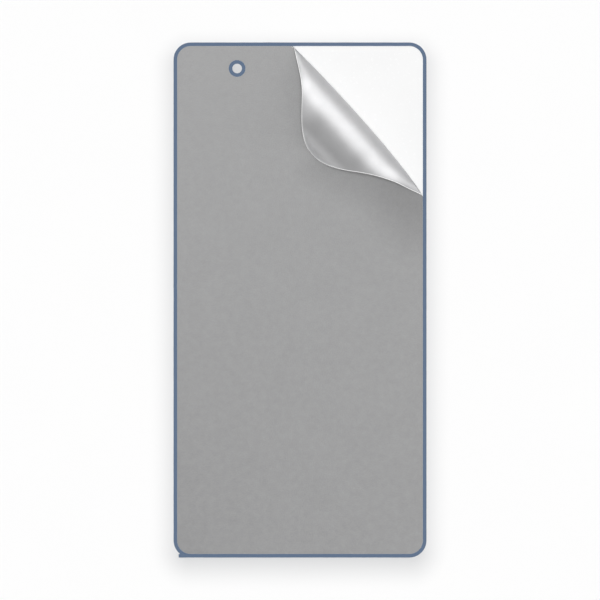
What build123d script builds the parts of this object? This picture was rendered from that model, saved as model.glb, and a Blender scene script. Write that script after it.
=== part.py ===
"""Phone screen protector on its release liner, with one corner of the film peeled up and curled over.

Four thin sheets share one rounded outline: the liner, the border band and the camera ring that lie
on it, and the film that lies inside the band. Millimetres, +Z up, origin under the liner's middle.
"""

import os
from math import cos, log, pi, radians, sin, sqrt

from build123d import *

os.makedirs("parts", exist_ok=True)

# Outline of the sheet
WIDTH = 74.0
LENGTH = 150.7
CORNER_RADIUS = 5.0

# Thickness of each layer
LINER_THICKNESS = 0.12
BAND_THICKNESS = 0.20
FILM_THICKNESS = 0.20

# Border band, whose last run ends square, past the rounded corner at the bottom left
BAND_WIDTH = 1.05
BAND_END_FROM_LEFT = 1.5

# Camera hole through all layers, and the ring round it
HOLE_DIAMETER = 2.8
HOLE_FROM_LEFT = 18.6
HOLE_FROM_TOP = 7.6
RING_WIDTH = 1.05

# Clearances round the film
FILM_TO_BAND = 0.08
FILM_TO_RING = 0.05

# Peeled corner: loose length of the film's top and side edges, and the line that the film folds over
PEEL_ALONG_TOP = 38.02
PEEL_ALONG_SIDE = 44.25
FOLD_SKEW_DEGREES = 3.54
FOLD_BULGE = 1.52
BULGE_CREST = 0.62

# Curl of the loose corner: a tight turn at the fold, then a slack one that brings the tip down near the film
TIGHT_RADIUS = 2.65
TIGHT_TURN_DEGREES = 118.9
TIP_HEIGHT = 1.0

# Ends of the curl: the radius that the tight turn starts from, and the lengths of fold over which it grows
END_RADIUS = 0.30
TAPER_AT_TOP = 13.15
TAPER_AT_SIDE = 20.0
TAPER_POWER = 1.5

# Sections of the curl: reach into the flat film, loose length at the two end ones, and how many of each
FLAT_LEAD = 1.0
END_LOOSE = 0.2
EDGE_SECTIONS = 10
CORNER_SECTIONS = 5
CURL_STRIPS = 16

# Halvings in which the slack of the curl is found
HALVINGS = 40

# Places worked out from the sizes
layer_floor = LINER_THICKNESS
half_width = WIDTH / 2
half_length = LENGTH / 2
hole_radius = HOLE_DIAMETER / 2
ring_radius = hole_radius + RING_WIDTH
camera = (HOLE_FROM_LEFT - half_width, half_length - HOLE_FROM_TOP)
film_side = half_width - BAND_WIDTH - FILM_TO_BAND
film_top = half_length - BAND_WIDTH - FILM_TO_BAND
film_corner = CORNER_RADIUS - BAND_WIDTH - FILM_TO_BAND

# Fold frame: stations run along the fold from the top edge to the side edge, and the peel runs across it
fold_start = Vector(film_side - PEEL_ALONG_TOP, film_top, layer_floor)
fold_end = Vector(film_side, film_top - PEEL_ALONG_SIDE, layer_floor)
fold_line = fold_end - fold_start
along = fold_line.normalized().rotate(Axis.Z, FOLD_SKEW_DEGREES)
across = along.rotate(Axis.Z, 90)
fold_length = fold_line.dot(along)
fold_drift = fold_line.dot(across)
corner_center = Vector(film_side - film_corner, film_top - film_corner, layer_floor)
tight_turn = radians(TIGHT_TURN_DEGREES)


def hump(share, crest):
    """Half wave over the fold, 0 at both ends and 1 at the crest."""
    share = min(max(share, 0.0), 1.0)
    return sin(pi * share ** (log(0.5) / log(crest)))


def taper(reach, length):
    """Rise from 0 at an end of the fold to 1 past its taper."""
    return sin(pi / 2 * min(max(reach / length, 0.0), 1.0)) ** TAPER_POWER


def tight_radius(station):
    """Radius of the tight turn, which shrinks to the end radius where the fold meets the film's edges."""
    fullness = taper(station, TAPER_AT_TOP) * taper(fold_length - station, TAPER_AT_SIDE)
    return END_RADIUS + (TIGHT_RADIUS - END_RADIUS) * fullness


def contact(station):
    """Distance across the fold at which the film leaves the liner."""
    share = min(max(station / fold_length, 0.0), 1.0)
    outermost = fold_drift * share + FOLD_BULGE * sqrt(hump(share, BULGE_CREST))
    return outermost - tight_radius(station)


def film_edge(station):
    """Distance across the fold to the edge that the film would have if it lay flat."""
    start = fold_start + along * station
    to_top = (film_top - start.Y) / across.Y
    to_side = (film_side - start.X) / across.X
    square = start + across * min(to_top, to_side)
    if square.X > corner_center.X and square.Y > corner_center.Y:
        to_center = corner_center - start
        return to_center.dot(across) + sqrt(film_corner**2 - to_center.dot(along) ** 2)
    return min(to_top, to_side)


def slack_for_tip():
    """Slack radius over the tight one, so that the tip of the corner ends at its height over the liner."""
    tip = (corner_center - fold_start).dot(along)
    radius = tight_radius(tip)
    slack = film_edge(tip) - contact(tip) - radius * tight_turn
    drop = radius * (1 - cos(tight_turn)) - TIP_HEIGHT
    low = tight_turn
    high = 2 * pi
    for _ in range(HALVINGS):
        turn = (low + high) / 2
        if slack * (cos(turn) - cos(tight_turn)) < drop * (turn - tight_turn):
            low = turn
        else:
            high = turn
    return slack / (turn - tight_turn) / radius


def lip_turn(station):
    """Turn of the film's lower face between the liner and the lip, in radians."""
    radius = tight_radius(station)
    loose = film_edge(station) - contact(station)
    if loose < radius * tight_turn:
        return loose / radius
    return tight_turn + (loose - radius * tight_turn) / (radius * slack_ratio)


def curl_line(station, lift):
    """Points of a section from where the film leaves the liner to the lip, two steps to a strip."""
    radius = tight_radius(station)
    slack_radius = radius * slack_ratio
    points = []
    for step in range(2 * CURL_STRIPS + 1):
        turn = lip_turn(station) * step / (2 * CURL_STRIPS)
        tight = min(turn, tight_turn)
        reach = contact(station) + radius * sin(tight) + slack_radius * (sin(turn) - sin(tight))
        height = radius * (1 - cos(tight)) + slack_radius * (cos(tight) - cos(turn))
        points.append((reach - lift * sin(turn), height + lift * cos(turn)))
    return points


# Slack that brings the tip of the corner down to its height
slack_ratio = slack_for_tip()

# Stations of the sections, closer together at the ends of the fold and round the film's corner
first_station = (END_RADIUS - END_LOOSE) * across.Y / along.Y
last_station = fold_length + (END_RADIUS - END_LOOSE) * across.X / along.X
corner_start = (Vector(corner_center.X, film_top, layer_floor) - fold_start).dot(along)
corner_end = (Vector(film_side, corner_center.Y, layer_floor) - fold_start).dot(along)
edge_shares = [step / EDGE_SECTIONS for step in range(EDGE_SECTIONS)]
corner_shares = [step / CORNER_SECTIONS for step in range(CORNER_SECTIONS)]
stations = [corner_start + (first_station - corner_start) * cos(pi / 2 * share) for share in edge_shares]
stations += [corner_start + (corner_end - corner_start) * share for share in corner_shares]
stations += [corner_end + (last_station - corner_end) * sin(pi / 2 * share) for share in edge_shares]
stations += [last_station]
flat_limit = min(contact(station) for station in stations) - FLAT_LEAD

# Release liner: plain sheet with the camera hole
with BuildPart() as backing_sheet:
    with BuildSketch():
        RectangleRounded(WIDTH, LENGTH, CORNER_RADIUS)
        with Locations(camera):
            Circle(hole_radius, mode=Mode.SUBTRACT)
    extrude(amount=LINER_THICKNESS)

# Border band round the whole outline
with BuildPart() as edge_frame:
    with BuildSketch(Plane.XY.offset(layer_floor)):
        RectangleRounded(WIDTH, LENGTH, CORNER_RADIUS)
        with Locations((BAND_END_FROM_LEFT - half_width, -half_length)):
            Rectangle(CORNER_RADIUS, BAND_WIDTH, align=(Align.MIN, Align.MIN))
        RectangleRounded(
            WIDTH - 2 * BAND_WIDTH, LENGTH - 2 * BAND_WIDTH, CORNER_RADIUS - BAND_WIDTH, mode=Mode.SUBTRACT
        )
    extrude(amount=BAND_THICKNESS)

# Ring round the camera hole
with BuildPart() as camera_ring:
    with BuildSketch(Plane.XY.offset(layer_floor)):
        with Locations(camera):
            Circle(ring_radius)
            Circle(hole_radius, mode=Mode.SUBTRACT)
    extrude(amount=BAND_THICKNESS)

# Film: flat sheet without the peeled corner, and the corner as a loft of sections across the fold
with BuildPart() as screen_film:
    with BuildSketch(Plane.XY.offset(layer_floor)):
        RectangleRounded(2 * film_side, 2 * film_top, film_corner)
        with Locations(camera):
            Circle(ring_radius + FILM_TO_RING, mode=Mode.SUBTRACT)
    extrude(amount=FILM_THICKNESS)
    with BuildSketch(Plane(origin=fold_start, x_dir=along, z_dir=(0, 0, 1))):
        with Locations((first_station, flat_limit)):
            Rectangle(last_station - first_station, LENGTH, align=(Align.MIN, Align.MIN))
    extrude(amount=FILM_THICKNESS, mode=Mode.SUBTRACT)
    for station in stations:
        lower = curl_line(station, 0)
        upper = curl_line(station, FILM_THICKNESS)
        with BuildSketch(Plane(origin=fold_start, x_dir=across, z_dir=along).offset(station)):
            with BuildLine() as section:
                Polyline(upper[0], (flat_limit, FILM_THICKNESS), (flat_limit, 0), lower[0])
                for step in range(0, 2 * CURL_STRIPS, 2):
                    Spline(*lower[step : step + 3])
                Line(lower[-1], upper[-1])
                for step in range(0, 2 * CURL_STRIPS, 2):
                    Spline(*upper[step : step + 3])
            add(Face(section.wire()), clean=False)
    loft(clean=False)

backing_sheet.part.label = "backing_sheet"
edge_frame.part.label = "edge_frame"
camera_ring.part.label = "camera_ring"
screen_film.part.label = "screen_film"

export_step(backing_sheet.part, "parts/backing_sheet.step")
export_step(edge_frame.part, "parts/edge_frame.step")
export_step(camera_ring.part, "parts/camera_ring.step")
export_step(screen_film.part, "parts/screen_film.step")
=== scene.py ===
"""Looks of the phone screen protector: the curled film as a fine sheet, materials, floor, light and camera."""

from math import cos, log, pi, radians, sin, sqrt, tan

import bmesh
import bpy
from mathutils import Matrix, Vector


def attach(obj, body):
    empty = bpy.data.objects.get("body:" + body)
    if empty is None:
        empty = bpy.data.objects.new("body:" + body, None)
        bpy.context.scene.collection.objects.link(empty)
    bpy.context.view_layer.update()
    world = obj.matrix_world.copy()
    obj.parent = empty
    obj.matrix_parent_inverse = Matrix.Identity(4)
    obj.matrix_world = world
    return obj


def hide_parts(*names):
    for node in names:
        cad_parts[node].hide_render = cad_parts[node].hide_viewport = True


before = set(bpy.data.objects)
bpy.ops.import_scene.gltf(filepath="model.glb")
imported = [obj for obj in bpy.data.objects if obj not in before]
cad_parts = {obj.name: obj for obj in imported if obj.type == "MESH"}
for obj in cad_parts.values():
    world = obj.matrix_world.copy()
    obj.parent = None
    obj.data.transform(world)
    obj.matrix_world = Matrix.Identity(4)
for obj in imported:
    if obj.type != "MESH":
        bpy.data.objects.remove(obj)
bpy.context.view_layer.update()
scene = bpy.context.scene

MM = 0.001

# Sizes of the part, in millimetres, as in the CAD source
WIDTH = 74.0
LENGTH = 150.7
CORNER_RADIUS = 5.0
LINER_THICKNESS = 0.12
FILM_THICKNESS = 0.20
BAND_WIDTH = 1.05
HOLE_DIAMETER = 2.8
HOLE_FROM_LEFT = 18.6
HOLE_FROM_TOP = 7.6
RING_WIDTH = 1.05

# Clearances of the film and the loose lengths that go with them, closer than in the CAD so that no liner shows
FILM_TO_BAND = 0.02
FILM_TO_RING = 0.01
PEEL_ALONG_TOP = 38.14
PEEL_ALONG_SIDE = 44.37

# Fold and curl of the peeled corner, as in the CAD source, which solves the slack ratio
FOLD_SKEW_DEGREES = 3.54
FOLD_BULGE = 1.52
BULGE_CREST = 0.62
TIGHT_RADIUS = 2.65
TIGHT_TURN_DEGREES = 118.9
SLACK_RATIO = 3.5258
END_RADIUS = 0.30
TAPER_AT_TOP = 13.15
TAPER_AT_SIDE = 20.0
TAPER_POWER = 1.5

# Sharper crease that the fold runs out into at the side edge: its radius, turn, slack and length
CREASE_RADIUS = 0.12
CREASE_TURN_DEGREES = 165.0
CREASE_RATIO = 8.0
CREASE_LENGTH = 10.0

# Fineness of the film's mesh, and the angle from which its edges are sharp
EDGE_COLUMNS = 70
CORNER_COLUMNS = 26
CURL_ROWS = 64
ARC_STEPS = 14
HOLE_STEPS = 72
SHARP_DEGREES = 35

# Dark band along the lip, painted with the cut edge's grey as shade of a bevel: its width, and the most it
# takes of the loose film
LIP_DARK_BAND = 0.10
LIP_DARK_SHARE = 0.1

# Painted highlight rim along the lip: its width from above, the most it takes of the loose film, the least
# share seen
RIM_BAND = 0.30
RIM_SHARE = 0.3
RIM_STEEPEST = 0.25

# Length of the crease at the top end of the fold that takes the rim's painted highlight and glow
BRIGHT_CREASE_LENGTH = 1.3

# Material slots of the film
TOP_SLOT = 0
UNDERSIDE_SLOT = 1
CUT_SLOT = 2
RIM_SLOT = 3

# Film's greys at the top edge, the bottom edge and the bottom left corner, darker downwards as painted shade,
# and the blue added to them
FILM_GREYS_WITH_PAINTED_SHADE = (163.0, 154.8, 149.6)
FILM_BLUE = 0.5

# Shares by which cloud, mottle and grain vary the film's tone, and the mottle's growth from top to bottom
FILM_CLOUD = 0.015
FILM_MOTTLE = 0.022
FILM_GRAIN = 0.09
MOTTLE_GROWTH = (1.2, 2.6)

# Painted soft oval shadows on the film by the curl: middle, reach along and across, turn in degrees, share left
FILM_PAINTED_SHADOWS = (
    ((34.5, 27.5), (20.0, 20.0), 0.0, 0.79),
    ((19.5, 32.8), (26.0, 9.0), -16.0, 0.912),
    ((3.5, 39.2), (8.0, 8.0), 0.0, 0.93),
)

# Silver underside: greys of its streaks, the blue added, and the grey and reach behind the fold of the painted
# brighter sheen at the tip
SILVER_GREYS = (188, 194)
SILVER_BLUE = 1.0
TIP_PAINTED_SHEEN_GREY = 238
TIP_SHEEN_NONE = 13.0
TIP_SHEEN_FULL = 17.5

# Greys of the cut edge, also painted as shade on a band along the lip, of the rim's painted highlight with its
# painted glow, and of the liner with its specks
CUT_GREYS = (118, 140)
RIM_GREYS = (206, 226)
RIM_PAINTED_GLOW = 0.22
LINER_GREYS = (246, 248)
SPECK_GREY = 254

# Slate blues of the band and the ring: dark and light of the grain, and the even one that clouds it
BAND_DARK = (0.100, 0.148, 0.230)
BAND_LIGHT = (0.113, 0.164, 0.253)
BAND_EVEN = (0.106, 0.156, 0.242)

# Floor, just under the sheet, in metres
FLOOR_SIZE = 3.0
FLOOR_LEVEL = -0.00002
FLOOR_COLOR = (0.99, 0.99, 0.99)

# Painted soft shadow on the floor round and under the sheet: its depth, half of its blur, its shift to the
# bottom, and its colour
SHADE_DEPTH = 0.352
SHADE_BLUR = 7.3
SHADE_SHIFT = 2.8
SHADE_COLOR = (0.02, 0.03, 0.05)

# Sky, and the white under the horizon that low views show
SKY_LEVEL = 0.30
UNDER_FLOOR_LEVEL = 0.98
HORIZON_BLUR = 0.001

# Lamp nearly straight above: its level, height, turn to the left of the sheet's top, and spread
LAMP_LEVEL = 0.70
LAMP_HEIGHT_DEGREES = 88.0
LAMP_LEFT_DEGREES = 60.0
LAMP_SPREAD_DEGREES = 14.0

# Reflector cards along the whole roll, in metres: name, lowest and highest tilt to the peeled corner, and level
CARD_DISTANCE = 2.0
CARD_LENGTH = 6.4
CARDS = (
    ("card_bright", 13.0, 72.0, 1.88),
    ("card_fill", -62.0, 13.0, 0.30),
    ("card_low", -89.0, -62.0, 0.34),
)

# Camera, in metres: width of its view, at the photograph's scale, and its height
VIEW_WIDTH = 0.17555
CAMERA_HEIGHT = 1.5

# Places worked out from the sizes
half_width = WIDTH / 2
half_length = LENGTH / 2
film_side = half_width - BAND_WIDTH - FILM_TO_BAND
film_top = half_length - BAND_WIDTH - FILM_TO_BAND
film_corner = CORNER_RADIUS - BAND_WIDTH - FILM_TO_BAND
film_hole = HOLE_DIAMETER / 2 + RING_WIDTH + FILM_TO_RING
camera_hole = Vector((HOLE_FROM_LEFT - half_width, half_length - HOLE_FROM_TOP, 0.0))
fold_start = Vector((film_side - PEEL_ALONG_TOP, film_top, 0.0))
fold_end = Vector((film_side, film_top - PEEL_ALONG_SIDE, 0.0))
fold_line = fold_end - fold_start
along = Matrix.Rotation(radians(FOLD_SKEW_DEGREES), 3, "Z") @ fold_line.normalized()
across = Matrix.Rotation(radians(90), 3, "Z") @ along
fold_length = fold_line.dot(along)
fold_drift = fold_line.dot(across)
corner_center = Vector((film_side - film_corner, film_top - film_corner, 0.0))

# Painted highlight and shade patches where the silver is brighter or duller: middle, inner and outer reach, and
# grey
silver_painted_patches = (
    ((1.9, 56.2, 7.5), 0.5, 6.0, 214),
    ((0.2, 62.0, 5.6), 0.5, 4.8, 213),
    ((17.5, 41.4, 7.8), 0.5, 4.8, 178),
    ((25.0, 35.2, 5.5), 0.5, 5.5, 208),
    (fold_end, 1.0, 9.0, 160),
)


def hump(share, crest):
    """Half wave over the fold, 0 at both ends and 1 at the crest."""
    share = min(max(share, 0.0), 1.0)
    return sin(pi * share ** (log(0.5) / log(crest)))


def taper(reach, length):
    """Rise from 0 at an end of the fold to 1 past its taper."""
    return sin(pi / 2 * min(max(reach / length, 0.0), 1.0)) ** TAPER_POWER


def creased(station, plain, sharp):
    """Value that goes smoothly from its plain size to that of the crease at the side end of the fold."""
    near = min(max((fold_length - station) / CREASE_LENGTH, 0.0), 1.0)
    return sharp + (plain - sharp) * near**2 * (3 - 2 * near)


def tight_radius(station):
    """Radius of the tight turn at a station along the fold."""
    fullness = taper(station, TAPER_AT_TOP) * taper(fold_length - station, TAPER_AT_SIDE)
    end_radius = creased(station, END_RADIUS, CREASE_RADIUS)
    return end_radius + (TIGHT_RADIUS - end_radius) * fullness


def tight_turn(station):
    """Turn at which the tight radius gives way to the slack one, in radians."""
    return radians(creased(station, TIGHT_TURN_DEGREES, CREASE_TURN_DEGREES))


def slack_radius(station):
    """Radius of the slack turn at a station along the fold."""
    return tight_radius(station) * creased(station, SLACK_RATIO, CREASE_RATIO)


def contact(station):
    """Distance across the fold at which the film leaves the liner."""
    share = min(max(station / fold_length, 0.0), 1.0)
    outermost = fold_drift * share + FOLD_BULGE * sqrt(max(hump(share, BULGE_CREST), 0.0))
    return outermost - tight_radius(station)


def film_edge(station):
    """Distance across the fold to the edge that the film would have if it lay flat."""
    start = fold_start + along * station
    to_top = (film_top - start.y) / across.y
    to_side = (film_side - start.x) / across.x
    square = start + across * min(to_top, to_side)
    if square.x > corner_center.x and square.y > corner_center.y:
        to_center = corner_center - start
        return to_center.dot(across) + sqrt(max(film_corner**2 - to_center.dot(along) ** 2, 0.0))
    return min(to_top, to_side)


def turn_at(station, loose):
    """Turn of the film's lower face at a length along the loose film."""
    radius = tight_radius(station)
    tight = tight_turn(station)
    if loose < radius * tight:
        return loose / radius
    return tight + (loose - radius * tight) / slack_radius(station)


def length_at(station, turn):
    """Length along the loose film at which its lower face has a given turn."""
    tight = tight_turn(station)
    return tight_radius(station) * min(turn, tight) + slack_radius(station) * max(turn - tight, 0.0)


def curl_point(station, loose, lift):
    """Point of the curled film at a length along it, lifted off its lower face."""
    radius = tight_radius(station)
    slack = slack_radius(station)
    turn = turn_at(station, loose)
    tight = min(turn, tight_turn(station))
    reach = contact(station) + radius * sin(tight) + slack * (sin(turn) - sin(tight)) - lift * sin(turn)
    height = radius * (1 - cos(tight)) + slack * (cos(tight) - cos(turn)) + lift * cos(turn)
    place = fold_start + along * station + across * reach
    return Vector((place.x, place.y, LINER_THICKNESS + height)) * MM


def row_lengths(station):
    """Lengths along the loose film of the mesh rows: even in turn, then the painted highlight rim and the
    painted dark band at the lip.
    """
    loose = max(film_edge(station) - contact(station), 0.0)
    seen = max(abs(cos(turn_at(station, loose))), RIM_STEEPEST)
    rim = min(RIM_BAND / seen, RIM_SHARE * loose)
    dark_band = min(LIP_DARK_BAND, LIP_DARK_SHARE * loose)
    last_turn = turn_at(station, loose - rim)
    lengths = [length_at(station, last_turn * row / CURL_ROWS) for row in range(CURL_ROWS + 1)]
    return lengths + [loose - dark_band, loose]


def fold_stations():
    """Stations of the mesh columns, closer together at the ends of the fold and round the film's corner."""
    first = END_RADIUS * across.y / along.y
    last = fold_length + CREASE_RADIUS * across.x / along.x
    corner_start = (Vector((corner_center.x, film_top, 0.0)) - fold_start).dot(along)
    corner_end = (Vector((film_side, corner_center.y, 0.0)) - fold_start).dot(along)
    turns = [pi / 2 * step / EDGE_COLUMNS for step in range(EDGE_COLUMNS)]
    shares = [step / CORNER_COLUMNS for step in range(CORNER_COLUMNS)]
    places = [corner_start + (first - corner_start) * cos(turn) for turn in turns]
    places += [corner_start + (corner_end - corner_start) * share for share in shares]
    places += [corner_end + (last - corner_end) * sin(turn) for turn in turns]
    return places + [last]


def film_outline():
    """Points of the flat film's outline, clockwise from the side edge round to the top edge."""
    points = []
    for sx, sy, start in ((1, -1, 0), (-1, -1, -90), (-1, 1, -180)):
        center = Vector((sx * (film_side - film_corner), sy * (film_top - film_corner), 0.0))
        for step in range(ARC_STEPS + 1):
            angle = radians(start - 90 * step / ARC_STEPS)
            points.append(center + Vector((cos(angle), sin(angle), 0.0)) * film_corner)
    return points


def hole_outline():
    """Points of the film's hole round the camera ring."""
    angles = [2 * pi * step / HOLE_STEPS for step in range(HOLE_STEPS)]
    return [camera_hole + Vector((cos(angle), sin(angle), 0.0)) * film_hole for angle in angles]


def curl_grid(bm, stations, rows, lift):
    """Points of one face of the curl, a column to a station, with a single point at either end of the fold."""
    ends = (0, len(stations) - 1)
    grid = []
    for column, station in enumerate(stations):
        if column in ends:
            point = bm.verts.new(curl_point(station, 0.0, lift))
            grid.append([point] * len(rows[column]))
        else:
            grid.append([bm.verts.new(curl_point(station, loose, lift)) for loose in rows[column]])
    return grid


def curl_faces(bm, grid):
    """Faces of the curl, each with the number of the column that ends it and of its row."""
    faces = []
    for column in range(1, len(grid)):
        left = grid[column - 1]
        right = grid[column]
        for row in range(len(left) - 1):
            corners = [left[row], right[row], right[row + 1], left[row + 1]]
            corners = [v for n, v in enumerate(corners) if v not in corners[:n]]
            if len(corners) > 2:
                faces.append((bm.faces.new(corners), column, row))
    return faces


def flat_faces(bm, loops):
    """Faces that fill the flat film between its closed loops."""
    edges = []
    for loop in loops:
        for a, b in zip(loop, loop[1:]):
            edges.append(bm.edges.get((a, b)) or bm.edges.new((a, b)))
    fill = bmesh.ops.triangle_fill(bm, use_beauty=True, use_dissolve=False, edges=edges, normal=(0, 0, 1))
    return [f for f in fill["geom"] if isinstance(f, bmesh.types.BMFace)]


def build_film():
    """Closed mesh of the film: two faces, one lifted off the other, joined by the cut edge."""
    bm = bmesh.new()
    stations = fold_stations()
    rows = [row_lengths(station) for station in stations]
    sheets = []
    for lift in (0.0, FILM_THICKNESS):
        grid = curl_grid(bm, stations, rows, lift)
        height = Vector((0.0, 0.0, LINER_THICKNESS + lift)) * MM
        outline = [bm.verts.new(point * MM + height) for point in film_outline()]
        ring = [bm.verts.new(point * MM + height) for point in hole_outline()]
        curl = curl_faces(bm, grid)
        border = [column[0] for column in grid] + outline
        hole = ring + ring[:1]
        flat = flat_faces(bm, (border + border[:1], hole))
        lip = [column[-1] for column in grid]
        sheets.append({"curl": curl, "flat": flat, "rim": lip + outline + lip[:1], "hole": hole})
    lower, upper = sheets
    walls = []
    for loop in ("rim", "hole"):
        pairs = list(zip(lower[loop], upper[loop]))
        for (a, a_up), (b, b_up) in zip(pairs, pairs[1:]):
            walls.append(bm.faces.new((a, b, b_up, a_up)))
    bmesh.ops.recalc_face_normals(bm, faces=bm.faces)
    # The lower face's last two rows take the rim's painted highlight and, as painted shade, the cut edge's dark
    # grey
    lip_slots = {CURL_ROWS: RIM_SLOT, CURL_ROWS + 1: CUT_SLOT}
    for face in lower["flat"]:
        face.material_index = UNDERSIDE_SLOT
    for face, column, row in lower["curl"]:
        face.material_index = lip_slots.get(row, UNDERSIDE_SLOT)
    # Upper faces at the top end of the fold take the rim's painted highlight and glow
    for face, column, row in upper["curl"]:
        painted_bright = stations[column] - stations[0] < BRIGHT_CREASE_LENGTH
        face.material_index = RIM_SLOT if painted_bright else TOP_SLOT
    for face in walls:
        face.material_index = CUT_SLOT
    mesh = bpy.data.meshes.new("film_sheet")
    bm.to_mesh(mesh)
    bm.free()
    mesh.polygons.foreach_set("use_smooth", [True] * len(mesh.polygons))
    mesh.set_sharp_from_angle(angle=radians(SHARP_DEGREES))
    sheet = bpy.data.objects.new("film_sheet", mesh)
    scene.collection.objects.link(sheet)
    return sheet


class Nodes:
    """Short way to build a node material."""

    def __init__(self, name):
        self.material = bpy.data.materials.new(name)
        self.material.use_nodes = True
        self.tree = self.material.node_tree
        self.shader = self.tree.nodes["Principled BSDF"]
        self.place = self.add("ShaderNodeTexCoord").outputs["Object"]

    def add(self, kind, values=None, links=None, **settings):
        """Node with its settings, plain input values and linked inputs."""
        node = self.tree.nodes.new(kind)
        for key, value in settings.items():
            setattr(node, key, value)
        for key, value in (values or {}).items():
            node.inputs[key].default_value = value
        for key, socket in (links or {}).items():
            self.tree.links.new(socket, node.inputs[key])
        return node

    def noise(self, scale, detail, roughness, stretch=None):
        """Noise whose scale is in waves per metre."""
        place = self.place
        if stretch:
            place = self.add("ShaderNodeMapping", {"Scale": stretch}, {"Vector": place}).outputs["Vector"]
        values = {"Scale": scale, "Detail": detail, "Roughness": roughness}
        return self.add("ShaderNodeTexNoise", values, {"Vector": place}).outputs["Fac"]

    def span(self, socket, low, high, to_low, to_high, smooth=False):
        """Maps a value from one range to another, kept within it."""
        values = {"From Min": low, "From Max": high, "To Min": to_low, "To Max": to_high}
        kind = "SMOOTHSTEP" if smooth else "LINEAR"
        node = self.add("ShaderNodeMapRange", values, {"Value": socket}, interpolation_type=kind)
        return node.outputs["Result"]

    def vary(self, noise, to_low, to_high, half=0.2):
        """Maps the middle of a noise, half a width to either side of 0.5, to a range."""
        return self.span(noise, 0.5 - half, 0.5 + half, to_low, to_high)

    def math(self, operation, a, b=0.0):
        """Arithmetic on one or two values, each a socket or a plain number."""
        node = self.add("ShaderNodeMath", operation=operation)
        for slot, value in enumerate((a, b)):
            if isinstance(value, (int, float)):
                node.inputs[slot].default_value = value
            else:
                self.tree.links.new(value, node.inputs[slot])
        return node.outputs[0]

    def mix(self, factor, a, b, blend="MIX"):
        """Mixes two colours, each a socket or a plain colour."""
        node = self.add("ShaderNodeMix", data_type="RGBA", blend_type=blend)
        for key, value in (("Factor", factor), ("A", a), ("B", b)):
            socket = [s for s in node.inputs if s.name == key and s.enabled][0]
            if isinstance(value, bpy.types.NodeSocket):
                self.tree.links.new(value, socket)
            elif key == "Factor":
                socket.default_value = value
            else:
                socket.default_value = (*value, 1.0)
        return [s for s in node.outputs if s.enabled][0]

    def bump(self, socket, distance, strength):
        """Bump of a height that is given in metres."""
        values = {"Distance": distance, "Strength": strength}
        node = self.add("ShaderNodeBump", values, {"Height": socket})
        self.set(Normal=node.outputs["Normal"])

    def set(self, **sockets):
        """Sets inputs of the shader, each a socket, a plain number or a plain colour."""
        for key, value in sockets.items():
            socket = self.shader.inputs[key.replace("_", " ")]
            if isinstance(value, bpy.types.NodeSocket):
                self.tree.links.new(value, socket)
            else:
                socket.default_value = (*value, 1.0) if isinstance(value, tuple) else value


def grey(value, blue=0.0):
    """Linear colour of an sRGB grey, with a little more blue where wanted."""
    levels = [value / 255, value / 255, (value + blue) / 255]
    return tuple(((c + 0.055) / 1.055) ** 2.4 for c in levels)


def film_top_material():
    """Frosted grey film: fine grain, faint cloudiness, painted shade darker towards the bottom left, and
    painted shadows under the curl.
    """
    m = Nodes("film_frosted")
    at_top, at_bottom, at_corner = [grey(level, FILM_BLUE) for level in FILM_GREYS_WITH_PAINTED_SHADE]
    # Painted shade: the grey darkens towards the bottom and most towards the bottom left corner
    axes = m.add("ShaderNodeSeparateXYZ", links={"Vector": m.place})
    down = m.span(axes.outputs["Y"], -half_length * MM, half_length * MM, 1.0, 0.0)
    leftward = m.span(axes.outputs["X"], -half_width * MM, half_width * MM, 1.0, 0.0)
    corner = m.math("MULTIPLY", m.math("POWER", down, 3.0), m.math("POWER", leftward, 2.0))
    base = m.mix(corner, m.mix(down, at_top, at_bottom), at_corner)
    cloud = m.vary(m.noise(90.0, detail=3.0, roughness=0.55), 1 - FILM_CLOUD, 1 + FILM_CLOUD)
    blotch = m.vary(m.noise(520.0, detail=3.0, roughness=0.65), -FILM_MOTTLE, FILM_MOTTLE, half=0.25)
    mottle = m.math("MULTIPLY", blotch, m.span(down, 0.0, 1.0, *MOTTLE_GROWTH))
    grain = m.vary(m.noise(3400.0, detail=2.0, roughness=0.6), 1 - FILM_GRAIN, 1 + FILM_GRAIN, half=0.25)
    tone = m.math("MULTIPLY", m.math("ADD", cloud, mottle), grain)
    # Painted shadows of the curl: each oval darkens the film towards its middle
    for (x, y), (long, short), turn, share in FILM_PAINTED_SHADOWS:
        oval = {
            "Location": Vector((x, y, LINER_THICKNESS + FILM_THICKNESS)) * MM,
            "Rotation": (0.0, 0.0, radians(turn)),
            "Scale": Vector((long, short, short)) * MM,
        }
        inside = m.add("ShaderNodeMapping", oval, {"Vector": m.place}, vector_type="TEXTURE")
        near = m.add("ShaderNodeVectorMath", links={0: inside.outputs["Vector"]}, operation="LENGTH")
        tone = m.math("MULTIPLY", tone, m.span(near.outputs["Value"], 0.0, 1.0, share, 1.0, smooth=True))
    tint = m.add("ShaderNodeCombineColor", links={"Red": tone, "Green": tone, "Blue": tone})
    color = m.mix(1.0, base, tint.outputs["Color"], "MULTIPLY")
    roughness = m.span(grain, 1 - FILM_GRAIN, 1 + FILM_GRAIN, 0.52, 0.66)
    m.set(Base_Color=color, Roughness=roughness, Specular_IOR_Level=0.25)
    m.bump(m.noise(3800.0, detail=2.0, roughness=0.6), distance=0.00001, strength=0.25)
    return m.material


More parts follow.
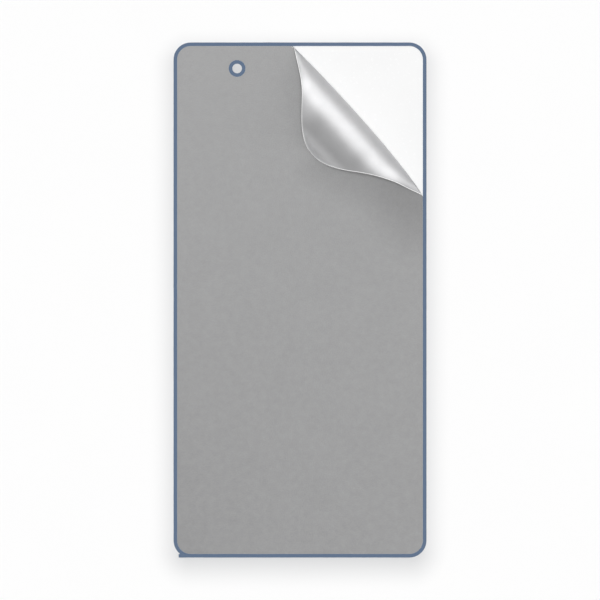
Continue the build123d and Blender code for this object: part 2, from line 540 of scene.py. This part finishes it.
def film_underside_material():
    """Silvery underside of the film: satin metal sheen with faint streaks along the roll, a painted brighter
    sheen at the tip, and painted highlight and shade patches.
    """
    m = Nodes("film_silver")
    streak = m.noise(260.0, detail=3.0, roughness=0.6, stretch=(1.0, 1.0, 0.25))
    grain = m.noise(4200.0, detail=2.0, roughness=0.6)
    dark, light = [grey(level, SILVER_BLUE) for level in SILVER_GREYS]
    color = m.mix(m.vary(streak, 0.0, 1.0), dark, light)
    # Painted sheen: the metal's colour brightens towards the tip so that its reflections come out lighter there
    reach = m.add("ShaderNodeVectorMath", {1: across}, {0: m.place}, operation="DOT_PRODUCT")
    fold_reach = fold_start.dot(across)
    far = (fold_reach - TIP_SHEEN_FULL) * MM
    near = (fold_reach - TIP_SHEEN_NONE) * MM
    tip_painted_sheen = m.span(reach.outputs["Value"], far, near, 1.0, 0.0, smooth=True)
    color = m.mix(tip_painted_sheen, color, grey(TIP_PAINTED_SHEEN_GREY, SILVER_BLUE))
    # Painted highlights near the ends of the bright band, and painted shade in the valley and at the side end
    # of the fold
    for middle, inner, outer, level in silver_painted_patches:
        apart = m.add("ShaderNodeVectorMath", {1: Vector(middle) * MM}, {0: m.place}, operation="DISTANCE")
        painted_patch = m.span(apart.outputs["Value"], inner * MM, outer * MM, 1.0, 0.0, smooth=True)
        color = m.mix(painted_patch, color, grey(level, SILVER_BLUE))
    m.set(Base_Color=color, Metallic=1.0, Roughness=m.vary(grain, 0.44, 0.52))
    m.bump(grain, distance=0.000006, strength=0.2)
    return m.material


def film_cut_material():
    """Cut edge of the film: dull grey with fine knife marks, also painted as shade on a band along the lip."""
    m = Nodes("film_cut_edge")
    marks = m.noise(2600.0, detail=3.0, roughness=0.6)
    dark, light = [grey(level) for level in CUT_GREYS]
    m.set(Base_Color=m.mix(marks, dark, light), Roughness=0.6, Specular_IOR_Level=0.3)
    m.bump(marks, distance=0.00001, strength=0.3)
    return m.material


def film_rim_material():
    """Painted highlight along the lip: light grey with a painted glow."""
    m = Nodes("film_rim")
    marks = m.noise(1500.0, detail=3.0, roughness=0.6)
    dark, light = [grey(level) for level in RIM_GREYS]
    m.set(Base_Color=m.mix(marks, dark, light), Roughness=m.vary(marks, 0.4, 0.55))
    # Painted glow: the rim gives off light though it is no lamp
    m.set(Emission_Color=(1.0, 1.0, 1.0), Emission_Strength=RIM_PAINTED_GLOW)
    m.bump(marks, distance=0.000006, strength=0.2)
    return m.material


def liner_material():
    """White release liner: satin, with faint specks and a slight unevenness."""
    m = Nodes("liner_white")
    cloud = m.vary(m.noise(70.0, detail=3.0, roughness=0.5), 0.0, 1.0)
    dark, light = [grey(level) for level in LINER_GREYS]
    specks = m.span(m.noise(1300.0, detail=1.0, roughness=0.5), 0.63, 0.73, 0.0, 0.6)
    color = m.mix(specks, m.mix(cloud, dark, light), grey(SPECK_GREY))
    m.set(Base_Color=color, Roughness=m.span(cloud, 0.0, 1.0, 0.42, 0.5), Specular_IOR_Level=0.3)
    m.bump(m.noise(1800.0, detail=2.0, roughness=0.5), distance=0.000008, strength=0.2)
    return m.material


def band_material():
    """Slate-blue border and camera ring: satin printed film with a fine grain."""
    m = Nodes("band_slate")
    grain = m.noise(3000.0, detail=2.0, roughness=0.6)
    cloud = m.noise(150.0, detail=2.0, roughness=0.5)
    fine = m.mix(m.vary(grain, 0.0, 1.0), BAND_DARK, BAND_LIGHT)
    color = m.mix(m.vary(cloud, 0.0, 0.5), fine, BAND_EVEN)
    m.set(Base_Color=color, Roughness=m.vary(grain, 0.42, 0.56), Specular_IOR_Level=0.3)
    m.bump(grain, distance=0.000008, strength=0.2)
    return m.material


def floor_material():
    """White table top, with a painted soft shadow round and under the sheet."""
    m = Nodes("floor_white")
    axes = m.add("ShaderNodeSeparateXYZ", links={"Vector": m.place})
    beyond = []
    for axis, half, shift in (("X", half_width, 0.0), ("Y", half_length, SHADE_SHIFT)):
        reach = m.math("ABSOLUTE", m.math("ADD", axes.outputs[axis], shift * MM))
        beyond.append(m.math("SUBTRACT", reach, (half - CORNER_RADIUS) * MM))
    outside = [m.math("MAXIMUM", b, 0.0) for b in beyond]
    squares = [m.math("MULTIPLY", b, b) for b in outside]
    corner = m.math("SQRT", m.math("ADD", *squares))
    inside = m.math("MINIMUM", m.math("MAXIMUM", *beyond), 0.0)
    distance = m.math("SUBTRACT", m.math("ADD", corner, inside), CORNER_RADIUS * MM)
    # Painted shadow: darkest under the sheet, fading outside its edge
    shade = m.span(distance, -SHADE_BLUR * MM, SHADE_BLUR * MM, SHADE_DEPTH, 0.0, smooth=True)
    fleck = m.vary(m.noise(40.0, detail=2.0, roughness=0.5), 0.0, 0.004)
    color = m.mix(m.math("ADD", shade, fleck), FLOOR_COLOR, SHADE_COLOR)
    m.set(Base_Color=color, Roughness=0.85, Specular_IOR_Level=0.0)
    return m.material


def reflector(name, low_degrees, high_degrees, level):
    """Card that only the shiny underside mirrors, between two tilts from straight up."""
    tilt = radians((low_degrees + high_degrees) / 2)
    width = 2 * CARD_DISTANCE * tan(radians(high_degrees - low_degrees) / 2)
    data = bpy.data.lights.new(name, "AREA")
    data.shape = "RECTANGLE"
    data.size = CARD_LENGTH
    data.size_y = width
    data.energy = level * pi * CARD_LENGTH * width
    card = bpy.data.objects.new(name, data)
    toward = across * sin(tilt) + Vector((0.0, 0.0, cos(tilt)))
    place = (fold_start + fold_end) * 0.5 * MM + toward * CARD_DISTANCE
    facing = Matrix((along, toward.cross(along), toward)).transposed().to_4x4()
    card.matrix_world = Matrix.Translation(place) @ facing
    card.visible_diffuse = False
    card.visible_camera = False
    scene.collection.objects.link(card)


# Film, with its materials in the order of their slots
film = build_film()
for make in (film_top_material, film_underside_material, film_cut_material, film_rim_material):
    film.data.materials.append(make())
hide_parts("screen_film")
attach(film, "root")

# Liner, band and ring keep their CAD shape
liner = liner_material()
band = band_material()
for name, material in (("backing_sheet", liner), ("edge_frame", band), ("camera_ring", band)):
    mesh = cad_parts[name].data
    mesh.materials.clear()
    mesh.materials.append(material)

# Floor
bpy.ops.mesh.primitive_plane_add(size=FLOOR_SIZE, location=(0.0, 0.0, FLOOR_LEVEL))
floor = bpy.context.object
floor.name = "floor"
floor.data.materials.append(floor_material())

# Even sky, white under the horizon
world = bpy.data.worlds.new("studio")
scene.world = world
world.use_nodes = True
tree = world.node_tree
direction = tree.nodes.new("ShaderNodeTexCoord")
axes = tree.nodes.new("ShaderNodeSeparateXYZ")
level = tree.nodes.new("ShaderNodeMapRange")
level.inputs["From Min"].default_value = -HORIZON_BLUR
level.inputs["From Max"].default_value = 0.0
level.inputs["To Min"].default_value = UNDER_FLOOR_LEVEL
level.inputs["To Max"].default_value = SKY_LEVEL
tree.links.new(direction.outputs["Generated"], axes.inputs["Vector"])
tree.links.new(axes.outputs["Z"], level.inputs["Value"])
tree.links.new(level.outputs["Result"], tree.nodes["Background"].inputs["Color"])

# Lamp that matt surfaces show and shiny ones don't mirror
lamp_data = bpy.data.lights.new("lamp_above", "SUN")
lamp_data.energy = LAMP_LEVEL * pi / sin(radians(LAMP_HEIGHT_DEGREES))
lamp_data.angle = radians(LAMP_SPREAD_DEGREES)
lamp = bpy.data.objects.new("lamp_above", lamp_data)
lamp.rotation_euler = (radians(LAMP_HEIGHT_DEGREES - 90.0), 0.0, radians(LAMP_LEFT_DEGREES))
lamp.visible_glossy = False
scene.collection.objects.link(lamp)

# Reflector cards
for card in CARDS:
    reflector(*card)

# Camera straight above
camera_data = bpy.data.cameras.new("camera")
camera_data.type = "ORTHO"
camera_data.ortho_scale = VIEW_WIDTH
camera = bpy.data.objects.new("camera", camera_data)
camera.location = (0.0, 0.0, CAMERA_HEIGHT)
scene.collection.objects.link(camera)
scene.camera = camera

scene.view_settings.view_transform = "Standard"
